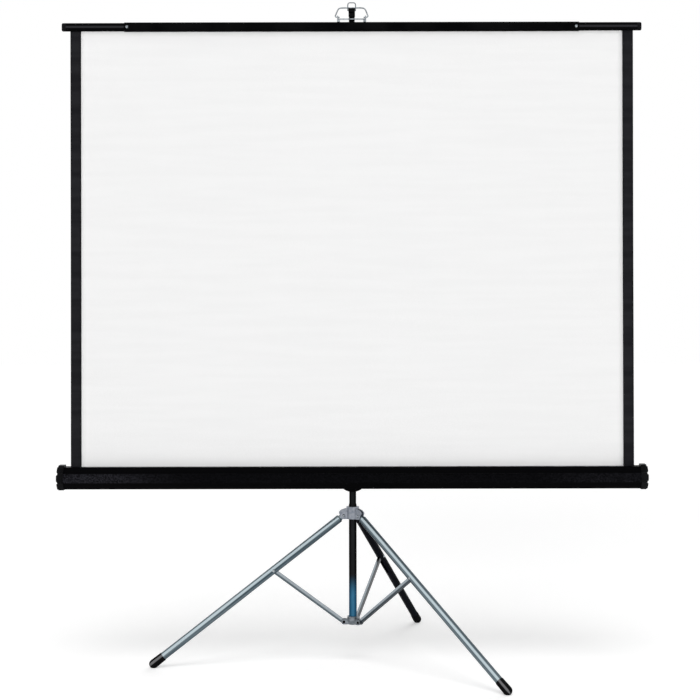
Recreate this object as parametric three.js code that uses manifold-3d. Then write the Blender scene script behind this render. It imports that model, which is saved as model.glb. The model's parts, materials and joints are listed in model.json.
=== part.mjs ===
// Tripod projection screen: a folding three-legged stand, a telescopic mast and a spring roller case.
// Millimetres, +Z up, +X to the viewer's right, the viewer stands on the -Y side.
import * as THREE from 'three';
import { mergeVertices } from 'three/addons/utils/BufferGeometryUtils.js';
import Module from 'manifold-3d';

const wasm = await Module();
wasm.setup();

// Clearances
const SEAT_GAP = 0.3;
const RUNNING_PLAY = 0.3;
const MAST_PLAY = 0.5;
const CUT_OVERRUN = 1;

// Square tubes of the stand, each one inside the next
const LOWER_POST_WIDTH = 24.2;
const LOWER_POST_WALL = 1.0;
const UPPER_POST_WALL = 1.0;
const MAST_WALL = 1.2;
const SPREADER_WALL = 1.2;
const TUBE_CORNER = 2.2;
const UPPER_POST_WIDTH = LOWER_POST_WIDTH - 2 * (LOWER_POST_WALL + SEAT_GAP);
const UPPER_POST_BORE = UPPER_POST_WIDTH - 2 * UPPER_POST_WALL;
const MAST_WIDTH = UPPER_POST_BORE - 2 * MAST_PLAY;
const SPREADER_WIDTH = UPPER_POST_BORE - 2 * RUNNING_PLAY;

// Heights above the floor
const HUB_PIVOT_Z = 126;
const COLLAR_PIVOT_Z = 463;
const CASE_Z = 589;
const UPPER_POST_TOP_Z = 1387;
const SLAT_Z = 2011;
const POST_OVERLAP = 100;
const POST_STUB = 7;
const MAST_INSERTION = 300;
const SPREADER_LENGTH = 315;

// The two ends of the case and the slat
const SIDES = [
  { side: 'left', sign: -1 },
  { side: 'right', sign: 1 },
];

// Legs and braces
const LEGS = [
  { side: 'front_right', azimuth: -43.5 },
  { side: 'front_left', azimuth: -172 },
  { side: 'rear', azimuth: 69.5 },
];
const PIVOT_RADIUS = 30;
const FOOT_RADIUS = 628;
const LEG_DIAMETER = 25;
const LEG_WALL = 1.2;
const LEG_PLUG = 6;
const LEG_SHOULDER = 2;
const LEG_SHOULDER_DROP = 3;
const TONGUE_WIDTH = 16;
const TONGUE_THICKNESS = 8;
const TONGUE_REACH = 13.5;
const FOOT_DIAMETER = 29;
const FOOT_LENGTH = 52;
const FOOT_SOLE = 6;
const FOOT_FLAT_DEPTH = 2.5;
const FOOT_TAPER = 0.9;
const BRACE_WIDTH = 14;
const BRACE_DEPTH = 9;
const BRACE_WALL = 1.5;
const KNEE_SLOT_ABOVE = 18;
const KNEE_SLOT_BELOW = 95;
const RIVET_RADIUS = 2.7;
const RIVET_HEAD_RADIUS = 4.6;
const RIVET_HEAD_HEIGHT = 2;

// Collar and hub castings
const COLLAR_RADIUS = 20;
const COLLAR_HEIGHT = 39;
const COLLAR_BELOW_PIVOT = 11;
const COLLAR_CHEEK = 4;
const COLLAR_LUG_ROUND = 11;
const COLLAR_LUG_REACH = 14;
const COLLAR_LUG_SHOULDER = 17;
const COLLAR_LUG_TOP = 26;
const HUB_RADIUS = 18;
const HUB_HEIGHT = 26;
const HUB_BELOW_PIVOT = 9;
const HUB_FLOOR = 5;
const HUB_CHAMFER = 3;
const HUB_CHEEK = 4;
const HUB_LUG_ROUND = 8;
const HUB_LUG_RISE = 9;

// Carriage that clamps the case to the post
const LINER_WALL = 1.5;
const CARRIAGE_WALL = 3;
const CARRIAGE_HEIGHT = 64;
const CARRIAGE_CORNER = 4;
const SWIVEL_RADIUS = 50;
const SWIVEL_THICKNESS = 4;
const BOLT_RADIUS = 4;
const BOLT_HEAD_RADIUS = 9;
const BOLT_HEAD_HEIGHT = 3;
const BRACKET_LENGTH = 120;
const BRACKET_HEIGHT = 30;
const BRACKET_THICKNESS = 2.4;
const KNOB_RADIUS = 14;
const KNOB_HEIGHT = 12;
const KNOB_LOBES = 8;
const KNOB_SCALLOP = 2;
const KNOB_SCREW_RADIUS = 3;
const BUSH_WALL = 3;
const BUSH_SKIRT = 26;
const BUSH_CAP = 8;

// Screen fabric
const FABRIC_WIDTH = 1778;
const FABRIC_THICKNESS = 1;
const BORDER_WIDTH = 34;
const HEM_RADIUS = 4;

// Roller case
const CASE_END_SPACE = 22;
const CASE_LENGTH = FABRIC_WIDTH + 2 * CASE_END_SPACE;
const CASE_HEIGHT = 69;
const CASE_DEPTH = 62;
const CASE_WALL = 1.2;
const CASE_TOP_DROP = 18;
const CASE_TOP_RUN = 13;
const CASE_RIDGE_STEP = 4;
const CASE_RIDGE_FALL = 1.5;
const CASE_FRONT_FLAT = 28;
const CASE_BASE_FLAT = 28;
const CASE_BACK_FLAT = 34;
const CASE_BACK_RISE = 3;
const CASE_BACK_RUN = 7;
const SLOT_WIDTH = 16;
const CAP_LENGTH = 18;
const CAP_LIP = 2.4;
const CAP_OVERLAP = 5;
const CAP_CROWN = 6;
const CAP_GROOVE = 5;
const CAP_CREST_RISE = 6;
const CAP_CREST_ROUND = 5;
const ROLLER_RADIUS = 16;
const ROLLER_FORWARD = 5;
const ROLLER_WALL = 1;
const ROLLER_OVERHANG = 8;
const ROLL_RADIUS = 18;
const PIN_RADIUS = 5;
const PIN_FLANGE = 6;
const PIN_REACH = 8;
const PLUG_DEPTH = 20;

// Top slat, bail and mast head
const SLAT_HEIGHT = 30;
const SLAT_DEPTH = 22;
const SLAT_WALL = 1.5;
const SLAT_END_WALL = 1.2;
const SLAT_EDGE_FLAT = 1;
const SLAT_END_REACH = 171;
const SLAT_OVERHANG = 26;
const SLAT_CENTRE_LENGTH = FABRIC_WIDTH - 2 * SLAT_END_REACH;
const SLAT_LENGTH = FABRIC_WIDTH + 2 * SLAT_OVERHANG;
const SLAT_SLEEVE_OVERLAP = 25;
const SLAT_CAP_LENGTH = 13;
const SLAT_CAP_PLUG = 12;
const SLAT_CAP_CROWN = 2;
const SLAT_SCREW_INSET = 9;
const SLAT_SCREW_RADIUS = 2.5;
const SLAT_SCREW_HEAD_RADIUS = 5;
const SLAT_SCREW_HEAD_HEIGHT = 2.5;
const BAIL_BASE_LENGTH = 92;
const BAIL_BASE_DEPTH = 14;
const BAIL_BASE_HEIGHT = 10;
const BAIL_BASE_BAR = 3;
const BAIL_BASE_FOOT = 9;
const BAIL_EAR_HEIGHT = 9;
const BAIL_EAR_THICKNESS = 4;
const BAIL_WIRE = 4.4;
const BAIL_WIDTH = 108;
const BAIL_TOP_WIDTH = 78;
const HEAD_ABOVE_SLAT = 46;
const HEAD_WIDTH = 20.5;
const HEAD_HEIGHT = 22;
const HEAD_PLUG = 30;
const NOSE_REACH = 14;
const NOSE_HEIGHT = 10;
const HOOK_WIRE = 3.2;
const HOOK_RISE = 20;
const HOOK_TAIL = 8;
const GLIDE_LENGTH = 22;
const GLIDE_FLANGE = 4;

// Worked-out places
const FOOT_CENTRE_Z = FOOT_DIAMETER / 2 - FOOT_FLAT_DEPTH;
const LEG_ANGLE = Math.atan2(FOOT_RADIUS - PIVOT_RADIUS, COLLAR_PIVOT_Z - FOOT_CENTRE_Z);
const LEG_REACH = Math.hypot(FOOT_RADIUS - PIVOT_RADIUS, COLLAR_PIVOT_Z - FOOT_CENTRE_Z);
const PIVOT_RISE = (COLLAR_PIVOT_Z - HUB_PIVOT_Z) / 2;
const BRACE_LENGTH = PIVOT_RISE / Math.cos(LEG_ANGLE);
const HUB_BOTTOM_Z = HUB_PIVOT_Z - HUB_BELOW_PIVOT;
const HUB_TOP_Z = HUB_BOTTOM_Z + HUB_HEIGHT;
const COLLAR_BOTTOM_Z = COLLAR_PIVOT_Z - COLLAR_BELOW_PIVOT;
const COLLAR_TOP_Z = COLLAR_BOTTOM_Z + COLLAR_HEIGHT;
const LOWER_POST_TOP_Z = COLLAR_TOP_Z + POST_STUB;
const LINER_WIDTH = UPPER_POST_WIDTH + 2 * (RUNNING_PLAY + LINER_WALL);
const CARRIAGE_WIDTH = LINER_WIDTH + 2 * (SEAT_GAP + CARRIAGE_WALL);
const SWIVEL_Y = -CARRIAGE_WIDTH / 2 - SEAT_GAP;
const BRACKET_Y = SWIVEL_Y - SWIVEL_THICKNESS - RUNNING_PLAY;
const CASE_BACK_Y = BRACKET_Y - BRACKET_THICKNESS - SEAT_GAP;
const CASE_Y = CASE_BACK_Y - CASE_DEPTH / 2;
const ROLLER_Y = CASE_Y - ROLLER_FORWARD;
const ROLLER_LENGTH = FABRIC_WIDTH + 2 * ROLLER_OVERHANG;
const FABRIC_Y = ROLLER_Y + ROLL_RADIUS + SEAT_GAP + FABRIC_THICKNESS / 2;
const SLAT_TOP_Z = SLAT_Z + SLAT_HEIGHT / 2;
const RIVET_HOLE = RIVET_RADIUS + RUNNING_PLAY;
const HEAD_TOP_Z = SLAT_TOP_Z + HEAD_ABOVE_SLAT;
const MAST_TOP_Z = HEAD_TOP_Z - HEAD_HEIGHT;
const BAIL_HINGE_Z = SLAT_TOP_Z + SEAT_GAP + BAIL_BASE_HEIGHT + BAIL_EAR_HEIGHT / 2;
const BAIL_TOP_Z = HEAD_TOP_Z + SEAT_GAP + BAIL_WIRE / 2;
const BAIL_TOP_Y = -HEAD_WIDTH / 2 - NOSE_REACH / 2;

function paint(color, roughness, metalness) {
  return new THREE.MeshStandardMaterial({ color, roughness, metalness });
}

const BLACK_ENAMEL = paint(0x121315, 0.35, 0.3);
const BLACK_HAMMER = paint(0x1b1c1e, 0.55, 0.2);
const BLACK_PLASTIC = paint(0x0e0e10, 0.45, 0);
const CHROME = paint(0xc9ccd0, 0.15, 1);
const SILVER_CAST = paint(0xb4b7ba, 0.35, 0.9);
const GREY_STEEL = paint(0x7f858b, 0.4, 0.9);
const NYLON = paint(0x2a2b2d, 0.6, 0);
const RUBBER = paint(0x0b0b0c, 0.85, 0);
const WHITE_FABRIC = paint(0xf2f2f1, 0.9, 0);
const BLACK_FABRIC = paint(0x0d0d0e, 0.9, 0);

// Solids: a closed geometry becomes a solid that can be joined and cut
function solid(geometry) {
  const bare = geometry.clone();
  bare.deleteAttribute('normal');
  bare.deleteAttribute('uv');
  const merged = mergeVertices(bare, 0.001);
  const points = merged.attributes.position.array;
  const corner = (i) => new THREE.Vector3().fromArray(points, 3 * i);
  const triangles = [];
  let volume = 0;
  for (let i = 0; i < merged.index.count; i += 3) {
    const [a, b, c] = [0, 1, 2].map((k) => merged.index.getX(i + k));
    if (a === b || b === c || c === a) continue;
    volume += corner(a).dot(corner(b).cross(corner(c)));
    triangles.push([a, b, c]);
  }
  const outward = triangles.map(([a, b, c]) => (volume > 0 ? [a, b, c] : [a, c, b]));
  const mesh = new wasm.Mesh({
    numProp: 3,
    vertProperties: Float32Array.from(points),
    triVerts: Uint32Array.from(outward.flat()),
  });
  return new wasm.Manifold(mesh);
}

const join = (...geometries) => geometries.map(solid).reduce((whole, next) => whole.add(next));
const cut = (whole, ...geometries) => geometries.reduce((rest, tool) => rest.subtract(solid(tool)), whole);

function geometryOf(body) {
  const mesh = body.getMesh();
  const geometry = new THREE.BufferGeometry();
  geometry.setAttribute('position', new THREE.BufferAttribute(Float32Array.from(mesh.vertProperties), 3));
  geometry.setIndex(new THREE.BufferAttribute(Uint32Array.from(mesh.triVerts), 1));
  geometry.computeVertexNormals();
  return geometry;
}

function place(parent, name, material, body) {
  const closed = body instanceof THREE.BufferGeometry ? solid(body) : body;
  const mesh = new THREE.Mesh(geometryOf(closed), material);
  mesh.name = name;
  parent.add(mesh);
  return mesh;
}

// Basic shapes
function block(x, y, z) {
  const size = new THREE.BoxGeometry(x[1] - x[0], y[1] - y[0], z[1] - z[0]);
  return size.translate((x[0] + x[1]) / 2, (y[0] + y[1]) / 2, (z[0] + z[1]) / 2);
}

function rod(radius, length, sides = 12) {
  return new THREE.CylinderGeometry(radius, radius, length, sides);
}

function turned(profile, sides = 24) {
  const points = profile.map(([r, h]) => new THREE.Vector2(r, h));
  return new THREE.LatheGeometry(points, sides).rotateX(Math.PI / 2);
}

function roundedRectangle(width, height, radius) {
  const [x, y] = [width / 2 - radius, height / 2 - radius];
  const outline = new THREE.Shape();
  outline.absarc(x, y, radius, 0, Math.PI / 2);
  outline.absarc(-x, y, radius, Math.PI / 2, Math.PI);
  outline.absarc(-x, -y, radius, Math.PI, 1.5 * Math.PI);
  outline.absarc(x, -y, radius, 1.5 * Math.PI, 2 * Math.PI);
  outline.closePath();
  return outline;
}

function prism(outline, depth, curveSegments = 2) {
  return new THREE.ExtrudeGeometry(outline, { depth, bevelEnabled: false, curveSegments });
}

function squareBar(width, radius, z0, z1) {
  return prism(roundedRectangle(width, width, radius), z1 - z0).translate(0, 0, z0);
}

function squareTube(width, wall, z0, z1) {
  const outline = roundedRectangle(width, width, TUBE_CORNER);
  outline.holes.push(roundedRectangle(width - 2 * wall, width - 2 * wall, TUBE_CORNER - wall));
  return prism(outline, z1 - z0).translate(0, 0, z0);
}

// An outline drawn in x and z, given a thickness along y
function uprightPlate(outline, thickness, curveSegments = 4) {
  return prism(outline, thickness, curveSegments).translate(0, 0, -thickness / 2).rotateX(Math.PI / 2);
}

// An outline drawn in y and z, run along x
const ALONG_X = new THREE.Matrix4().makeBasis(
  new THREE.Vector3(0, 1, 0),
  new THREE.Vector3(0, 0, 1),
  new THREE.Vector3(1, 0, 0),
);
function alongX(outline, x0, x1, curveSegments = 3) {
  return prism(outline, x1 - x0, curveSegments).translate(0, 0, x0).applyMatrix4(ALONG_X);
}

function polygon(points) {
  return new THREE.Shape(points.map(([a, b]) => new THREE.Vector2(a, b)));
}

function wire(points, diameter, steps) {
  const path = new THREE.CatmullRomCurve3(points, false, 'centripetal');
  const section = new THREE.Shape().absarc(0, 0, diameter / 2, 0, 2 * Math.PI);
  const sweep = { steps, extrudePath: path, curveSegments: 4, bevelEnabled: false };
  return new THREE.ExtrudeGeometry(section, sweep);
}

function rivet(grip) {
  const half = grip / 2;
  const crown = half + RIVET_HEAD_HEIGHT;
  const edge = RIVET_HEAD_RADIUS;
  const dome = 0.6 * edge;
  const profile = [
    [0, -crown], [dome, -crown], [edge, -half], [RIVET_RADIUS, -half],
    [RIVET_RADIUS, half], [edge, half], [dome, crown], [0, crown],
  ];
  return turned(profile, 12).rotateX(Math.PI / 2);
}

// A knob with a screw, pointing along +Y, its shoulder at y = 0
function thumbKnob(screwLength) {
  const outline = new THREE.Shape();
  for (let i = 0; i < 2 * KNOB_LOBES; i += 1) {
    const angle = (i * Math.PI) / KNOB_LOBES;
    const radius = i % 2 ? KNOB_RADIUS : KNOB_RADIUS - KNOB_SCALLOP;
    outline[i ? 'lineTo' : 'moveTo'](radius * Math.cos(angle), radius * Math.sin(angle));
  }
  const grip = uprightPlate(outline, KNOB_HEIGHT).translate(0, KNOB_HEIGHT / 2, 0);
  const inGrip = KNOB_HEIGHT / 2;
  const screw = rod(KNOB_SCREW_RADIUS, screwLength + inGrip).translate(0, (inGrip - screwLength) / 2, 0);
  return join(grip, screw);
}

const screen = new THREE.Group();

// A group for each leg's own upright plane: local x runs outward, local y is the pivots' direction
function radialGroup(azimuth) {
  const group = new THREE.Group();
  group.rotation.z = THREE.MathUtils.degToRad(azimuth);
  screen.add(group);
  return group;
}

// Stand: posts, collar and hub
function buildPosts() {
  const lower = squareTube(LOWER_POST_WIDTH, LOWER_POST_WALL, HUB_TOP_Z + SEAT_GAP, LOWER_POST_TOP_Z);
  place(screen, 'lower_post', BLACK_ENAMEL, lower);
  const upperFoot = LOWER_POST_TOP_Z - POST_OVERLAP;
  const upper = squareTube(UPPER_POST_WIDTH, UPPER_POST_WALL, upperFoot, UPPER_POST_TOP_Z);
  const screwHole = rod(KNOB_SCREW_RADIUS + RUNNING_PLAY, UPPER_POST_WIDTH);
  screwHole.translate(0, UPPER_POST_WIDTH / 2, UPPER_POST_TOP_Z - BUSH_SKIRT / 2);
  place(screen, 'upper_post', BLACK_ENAMEL, cut(solid(upper), screwHole));
}

// A lug in x and z about a pivot's height: rounded below, with a sloping top and a cut outer corner
function lugOutline(inner, { round, below, reach, shoulder, top }) {
  const outline = new THREE.Shape();
  outline.moveTo(inner, -below);
  outline.lineTo(PIVOT_RADIUS, -below);
  outline.absarc(PIVOT_RADIUS, round - below, round, -Math.PI / 2, 0);
  outline.lineTo(PIVOT_RADIUS + reach, shoulder - reach / 2);
  outline.lineTo(PIVOT_RADIUS + reach / 2, shoulder);
  outline.lineTo(inner, top);
  outline.closePath();
  return outline;
}

function turnedToLeg(geometry, leg) {
  return geometry.rotateZ(THREE.MathUtils.degToRad(leg.azimuth));
}

function buildCollar() {
  const ring = turned([
    [0, COLLAR_BOTTOM_Z], [COLLAR_RADIUS, COLLAR_BOTTOM_Z],
    [COLLAR_RADIUS, COLLAR_TOP_Z], [0, COLLAR_TOP_Z],
  ]);
  const fork = TONGUE_THICKNESS + 2 * (RUNNING_PLAY + COLLAR_CHEEK);
  const outline = lugOutline(COLLAR_RADIUS / 2, {
    round: COLLAR_LUG_ROUND,
    below: COLLAR_BELOW_PIVOT,
    reach: COLLAR_LUG_REACH,
    shoulder: COLLAR_LUG_SHOULDER,
    top: COLLAR_LUG_TOP,
  });
  const lug = uprightPlate(outline, fork).translate(0, 0, COLLAR_PIVOT_Z);
  const lugs = LEGS.map((leg) => turnedToLeg(lug.clone(), leg));
  const gapHalf = TONGUE_THICKNESS / 2 + RUNNING_PLAY;
  const gapStart = PIVOT_RADIUS - TONGUE_WIDTH / 2 - 2 * RUNNING_PLAY;
  const cutEnds = [COLLAR_BOTTOM_Z - CUT_OVERRUN, COLLAR_TOP_Z + CUT_OVERRUN];
  const slot = block([gapStart, 2 * PIVOT_RADIUS], [-gapHalf, gapHalf], cutEnds);
  const slots = LEGS.map((leg) => turnedToLeg(slot.clone(), leg));
  const pivotHole = rod(RIVET_HOLE, 2 * fork).translate(PIVOT_RADIUS, 0, COLLAR_PIVOT_Z);
  const holes = LEGS.map((leg) => turnedToLeg(pivotHole.clone(), leg));
  const bore = squareBar(LOWER_POST_WIDTH + 2 * SEAT_GAP, TUBE_CORNER, ...cutEnds);
  place(screen, 'leg_collar', SILVER_CAST, cut(join(ring, ...lugs), bore, ...slots, ...holes));
  return fork;
}

function buildSpreader() {
  const drum = turned([
    [0, HUB_BOTTOM_Z], [HUB_RADIUS - HUB_CHAMFER, HUB_BOTTOM_Z],
    [HUB_RADIUS, HUB_BOTTOM_Z + HUB_CHAMFER], [HUB_RADIUS, HUB_TOP_Z], [0, HUB_TOP_Z],
  ]);
  const fork = BRACE_DEPTH + 2 * (RUNNING_PLAY + HUB_CHEEK);
  const outline = lugOutline(HUB_RADIUS / 2, {
    round: HUB_LUG_ROUND,
    below: HUB_LUG_ROUND,
    reach: HUB_LUG_ROUND,
    shoulder: HUB_LUG_RISE,
    top: HUB_LUG_RISE,
  });
  const lug = uprightPlate(outline, fork).translate(0, 0, HUB_PIVOT_Z);
  const lugs = LEGS.map((leg) => turnedToLeg(lug.clone(), leg));
  const gapHalf = BRACE_DEPTH / 2 + RUNNING_PLAY;
  const gapStart = PIVOT_RADIUS - BRACE_WIDTH / 2 - 2 * RUNNING_PLAY;
  const cutEnds = [HUB_BOTTOM_Z - CUT_OVERRUN, HUB_TOP_Z + CUT_OVERRUN];
  const slot = block([gapStart, 2 * PIVOT_RADIUS], [-gapHalf, gapHalf], cutEnds);
  const slots = LEGS.map((leg) => turnedToLeg(slot.clone(), leg));
  const pivotHole = rod(RIVET_HOLE, 2 * fork).translate(PIVOT_RADIUS, 0, HUB_PIVOT_Z);
  const holes = LEGS.map((leg) => turnedToLeg(pivotHole.clone(), leg));
  const socketFloor = HUB_BOTTOM_Z + HUB_FLOOR;
  const socketTop = HUB_TOP_Z + CUT_OVERRUN;
  const socket = squareBar(SPREADER_WIDTH + 2 * SEAT_GAP, TUBE_CORNER, socketFloor, socketTop);
  place(screen, 'spreader_hub', GREY_STEEL, cut(join(drum, ...lugs), socket, ...slots, ...holes));
  const tubeBottom = socketFloor + SEAT_GAP;
  const tube = squareTube(SPREADER_WIDTH, SPREADER_WALL, tubeBottom, tubeBottom + SPREADER_LENGTH);
  place(screen, 'spreader_tube', CHROME, tube);
  return fork;
}

// One leg with its rubber foot, and the channel brace that turns in a slot in its underside
function buildLeg(leg, collarFork, hubFork) {
  const plane = radialGroup(leg.azimuth);
  const legFrame = new THREE.Group();
  legFrame.position.set(PIVOT_RADIUS, 0, COLLAR_PIVOT_Z);
  legFrame.rotation.y = -LEG_ANGLE;
  plane.add(legFrame);

  const radius = LEG_DIAMETER / 2;
  const tubeEnd = FOOT_SOLE - LEG_REACH;
  const plugEnd = -TONGUE_REACH - LEG_PLUG;
  const tube = turned([
    [0, -TONGUE_REACH], [radius - LEG_SHOULDER, -TONGUE_REACH],
    [radius, -TONGUE_REACH - LEG_SHOULDER_DROP], [radius, tubeEnd],
    [radius - LEG_WALL, tubeEnd], [radius - LEG_WALL, plugEnd], [0, plugEnd],
  ]);
  const half = TONGUE_WIDTH / 2;
  const tongueOutline = new THREE.Shape();
  tongueOutline.moveTo(-half, -TONGUE_REACH - LEG_PLUG / 2);
  tongueOutline.lineTo(half, -TONGUE_REACH - LEG_PLUG / 2);
  tongueOutline.absarc(0, 0, half, 0, Math.PI);
  tongueOutline.closePath();
  const pivotHole = rod(RIVET_HOLE, 4 * TONGUE_THICKNESS);
  const tongue = uprightPlate(tongueOutline, TONGUE_THICKNESS);
  const braceHole = rod(RIVET_HOLE, 2 * LEG_DIAMETER).translate(0, 0, -BRACE_LENGTH);
  const slotHalf = BRACE_DEPTH / 2 + RUNNING_PLAY;
  const slotEnds = [-BRACE_LENGTH - KNEE_SLOT_BELOW, KNEE_SLOT_ABOVE - BRACE_LENGTH];
  const slot = block([-LEG_DIAMETER, 0], [-slotHalf, slotHalf], slotEnds);
  place(legFrame, `leg_tube_${leg.side}`, CHROME, cut(join(tube, tongue), pivotHole, braceHole, slot));

  const footRadius = FOOT_DIAMETER / 2;
  const top = FOOT_LENGTH - footRadius - LEG_REACH;
  const bore = radius + SEAT_GAP;
  const tip = [0, 18, 36, 54, 72, 90].map((turn) => {
    const angle = THREE.MathUtils.degToRad(turn);
    return [footRadius * Math.sin(angle), -LEG_REACH - footRadius * Math.cos(angle)];
  });
  const foot = turned([
    ...tip, [footRadius - FOOT_TAPER, top], [bore, top],
    [bore, tubeEnd - SEAT_GAP], [0, tubeEnd - SEAT_GAP],
  ]);
  const floorDepth = 4 * FOOT_LENGTH;
  const floor = block([-floorDepth, floorDepth], [-floorDepth, floorDepth], [-floorDepth, 0]);
  floor.translate(FOOT_RADIUS - PIVOT_RADIUS, 0, -COLLAR_PIVOT_Z).rotateY(LEG_ANGLE);
  place(legFrame, `leg_foot_${leg.side}`, RUBBER, cut(solid(foot), floor));

  const braceOutline = (halfWidth) => new THREE.Shape()
    .absarc(0, 0, halfWidth, 0, Math.PI)
    .absarc(0, -BRACE_LENGTH, halfWidth, Math.PI, 2 * Math.PI)
    .closePath();
  const channel = uprightPlate(braceOutline(BRACE_WIDTH / 2), BRACE_DEPTH);
  const hollow = uprightPlate(braceOutline(BRACE_WIDTH / 2), BRACE_DEPTH - 2 * BRACE_WALL);
  hollow.translate(BRACE_WALL, 0, 0);
  const endHole = rod(RIVET_HOLE, 2 * BRACE_DEPTH);
  const braceHoles = [0, -BRACE_LENGTH].map((z) => endHole.clone().translate(0, 0, z));
  const braceMesh = place(plane, `brace_${leg.side}`, CHROME, cut(solid(channel), hollow, ...braceHoles));
  const kneeRadius = PIVOT_RADIUS + BRACE_LENGTH * Math.sin(LEG_ANGLE);
  braceMesh.position.set(kneeRadius, 0, COLLAR_PIVOT_Z - PIVOT_RISE);
  braceMesh.rotation.y = LEG_ANGLE;

  const legPivot = place(plane, `leg_pivot_${leg.side}`, CHROME, rivet(collarFork + 2 * SEAT_GAP));
  legPivot.position.set(PIVOT_RADIUS, 0, COLLAR_PIVOT_Z);
  const kneeRivet = place(legFrame, `brace_rivet_${leg.side}`, CHROME, rivet(LEG_DIAMETER + 2 * SEAT_GAP));
  kneeRivet.position.set(0, 0, -BRACE_LENGTH);
  const hubRivet = place(plane, `hub_rivet_${leg.side}`, CHROME, rivet(hubFork + 2 * SEAT_GAP));
  hubRivet.position.set(PIVOT_RADIUS, 0, HUB_PIVOT_Z);
}

// Mast guide at the top of the post, with its clamping knob
function buildMastGuide() {
  const skirtBore = UPPER_POST_WIDTH + 2 * SEAT_GAP;
  const width = skirtBore + 2 * BUSH_WALL;
  const top = UPPER_POST_TOP_Z + BUSH_CAP;
  const bottom = UPPER_POST_TOP_Z - BUSH_SKIRT;
  const outside = squareBar(width, TUBE_CORNER + BUSH_WALL, bottom, top);
  const cutBottom = bottom - CUT_OVERRUN;
  const skirt = squareBar(skirtBore, TUBE_CORNER, cutBottom, UPPER_POST_TOP_Z + SEAT_GAP);
  const mastCorner = TUBE_CORNER - UPPER_POST_WALL;
  const mastBore = squareBar(MAST_WIDTH + 2 * RUNNING_PLAY, mastCorner, cutBottom, top + CUT_OVERRUN);
  const screwZ = UPPER_POST_TOP_Z - BUSH_SKIRT / 2;
  const screwHole = rod(KNOB_SCREW_RADIUS + RUNNING_PLAY, width).translate(0, width / 2, screwZ);
  place(screen, 'post_bush', NYLON, cut(solid(outside), skirt, mastBore, screwHole));
  const knob = thumbKnob((width - MAST_WIDTH) / 2);
  const knobMesh = place(screen, 'mast_lock_knob', BLACK_PLASTIC, knob);
  knobMesh.position.set(0, width / 2 + SEAT_GAP, screwZ);
}

// Carriage on the post, with its liner, lock knob and the swivel that carries the case
function buildCarriage() {
  const [low, high] = [CASE_Z - CARRIAGE_HEIGHT / 2, CASE_Z + CARRIAGE_HEIGHT / 2];
  const linerOutside = squareBar(LINER_WIDTH, TUBE_CORNER + LINER_WALL, low, high);
  const cutEnds = [low - CUT_OVERRUN, high + CUT_OVERRUN];
  const linerBore = squareBar(UPPER_POST_WIDTH + 2 * RUNNING_PLAY, TUBE_CORNER, ...cutEnds);
  const screwHole = rod(KNOB_SCREW_RADIUS + RUNNING_PLAY, CARRIAGE_WIDTH);
  screwHole.translate(0, CARRIAGE_WIDTH / 2, CASE_Z);
  place(screen, 'carriage_liner', NYLON, cut(solid(linerOutside), linerBore, screwHole));
  const outside = squareBar(CARRIAGE_WIDTH, CARRIAGE_CORNER, low, high);
  const bore = squareBar(LINER_WIDTH + 2 * SEAT_GAP, TUBE_CORNER + LINER_WALL, ...cutEnds);
  const boltHole = rod(BOLT_RADIUS + SEAT_GAP, CARRIAGE_WIDTH).translate(0, -CARRIAGE_WIDTH / 2, CASE_Z);
  place(screen, 'carriage', BLACK_ENAMEL, cut(solid(outside), bore, screwHole, boltHole));
  const knob = thumbKnob((CARRIAGE_WIDTH - UPPER_POST_WIDTH) / 2);
  const knobMesh = place(screen, 'carriage_lock_knob', BLACK_PLASTIC, knob);
  knobMesh.position.set(0, CARRIAGE_WIDTH / 2 + SEAT_GAP, CASE_Z);

  const disc = rod(SWIVEL_RADIUS, SWIVEL_THICKNESS, 48);
  disc.translate(0, SWIVEL_Y - SWIVEL_THICKNESS / 2, CASE_Z);
  const discHole = rod(BOLT_RADIUS + RUNNING_PLAY, 4 * SWIVEL_THICKNESS).translate(0, SWIVEL_Y, CASE_Z);
  place(screen, 'swivel_disc', BLACK_ENAMEL, cut(solid(disc), discHole));

  const headSeat = CASE_BACK_Y - CASE_WALL - RUNNING_PLAY;
  const boltEnd = -LINER_WIDTH / 2 - 2 * SEAT_GAP;
  const shank = boltEnd - headSeat;
  const boltTip = shank + BOLT_HEAD_HEIGHT;
  const bolt = turned([
    [0, 0], [BOLT_RADIUS, 0], [BOLT_RADIUS, shank], [BOLT_HEAD_RADIUS, shank],
    [BOLT_HEAD_RADIUS, boltTip], [0, boltTip],
  ]);
  const boltMesh = place(screen, 'swivel_bolt', GREY_STEEL, bolt.rotateX(Math.PI / 2));
  boltMesh.position.set(0, boltEnd, CASE_Z);
}

// Case outline in y and z about the case centre, grown by a margin
function caseOutline(grow) {
  const [front, back] = [-CASE_DEPTH / 2 - grow, CASE_DEPTH / 2 + grow];
  const [base, top] = [-CASE_HEIGHT / 2 - grow, CASE_HEIGHT / 2 + grow];
  const ease = grow / 2;
  const ridge = CASE_HEIGHT / 2 - CASE_TOP_DROP + ease;
  return [
    [front + CASE_RIDGE_STEP + CASE_TOP_RUN, top],
    [front + CASE_RIDGE_STEP, ridge],
    [front, ridge - CASE_RIDGE_FALL],
    [front, ridge - CASE_RIDGE_FALL - CASE_FRONT_FLAT - grow],
    [-CASE_BASE_FLAT / 2 - ease, base],
    [CASE_BASE_FLAT / 2 + ease, base],
    [back, CASE_BACK_RISE - CASE_BACK_FLAT / 2 - ease],
    [back, CASE_BACK_RISE + CASE_BACK_FLAT / 2 + ease],
    [back - CASE_BACK_RUN, top],
  ];
}

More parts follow.
